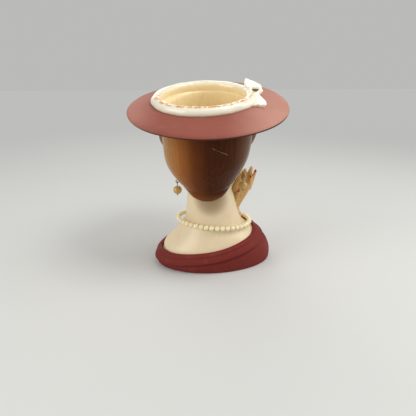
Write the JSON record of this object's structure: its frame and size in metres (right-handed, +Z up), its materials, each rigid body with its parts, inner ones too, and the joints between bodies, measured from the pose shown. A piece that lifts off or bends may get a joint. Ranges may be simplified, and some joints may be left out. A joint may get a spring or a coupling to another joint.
{
  "type": "planter",
  "caption": "Hollow glazed bust planter in a wide tilted hat, open at the crown, with swinging pearl drop earrings and a loose pearl strand.",
  "frame": {"origin": "on the ground, under the centre of the hat brim", "axes": "+Z up; the face looks along -Y; her right hand is on the -X side"},
  "size_m": [0.1252, 0.1216, 0.1537],
  "materials": {
    "dress_paint": "matte painted ceramic",
    "skin_glaze": "satin glaze",
    "hair_glaze": "gloss glaze",
    "hat_paint": "matte painted ceramic",
    "rim_glaze": "gloss glaze with worn gold",
    "hand_glaze": "satin glaze",
    "hook_metal": "tarnished wire",
    "drop_pearl": "aged imitation pearl",
    "necklace_pearl": "imitation pearl",
    "thread": "twisted thread"
  },
  "bodies": {
    "bust": {"dress_shell": "dress_paint", "dress_collar": "dress_paint", "neck_shell": "skin_glaze", "face_shell": "skin_glaze", "hair_back": "hair_glaze", "left_hair_curl": "hair_glaze", "right_hair_curl": "hair_glaze", "hair_fringe": "hair_glaze", "hat_brim": "hat_paint", "crown_rim": "rim_glaze", "bow_knot": "rim_glaze", "bow_loop_back": "rim_glaze", "bow_loop_side": "rim_glaze", "bow_tail": "rim_glaze", "right_hand": "hand_glaze", "right_forearm": "hand_glaze", "necklace_thread": "thread", "necklace_pearls": "necklace_pearl", "necklace_knot": "thread"},
    "left_hook": {"left_ear_hook": "hook_metal"},
    "left_drop": {"left_drop_pin": "hook_metal"},
    "left_pearl": {"left_drop_pearl": "drop_pearl"},
    "right_hook": {"right_ear_hook": "hook_metal"},
    "right_drop": {"right_drop_pin": "hook_metal"},
    "right_pearl": {"right_drop_pearl": "drop_pearl"}
  },
  "joints": [
    {"name": "left_hook_swing", "type": "hinge", "parent": "bust", "child": "left_hook", "pos_m": [0.0247, -0.005, 0.0744], "axis": [1, 0, 0], "range_deg": [-35, 35]},
    {"name": "left_drop_swing", "type": "hinge", "parent": "left_hook", "child": "left_drop", "pos_m": [0.0274, -0.005, 0.0706], "axis": [0, -1, 0], "range_deg": [-15, 45]},
    {"name": "left_pearl_spin", "type": "hinge", "parent": "left_drop", "child": "left_pearl", "pos_m": [0.0274, -0.005, 0.063], "axis": [0, 0, 1], "continuous": true},
    {"name": "right_hook_swing", "type": "hinge", "parent": "bust", "child": "right_hook", "pos_m": [-0.0257, -0.005, 0.0796], "axis": [1, 0, 0], "range_deg": [-25, 35]},
    {"name": "right_drop_swing", "type": "hinge", "parent": "right_hook", "child": "right_drop", "pos_m": [-0.0284, -0.005, 0.0758], "axis": [0, 1, 0], "range_deg": [-15, 45]},
    {"name": "right_pearl_spin", "type": "hinge", "parent": "right_drop", "child": "right_pearl", "pos_m": [-0.0284, -0.005, 0.0682], "axis": [0, 0, 1], "continuous": true}
  ]
}
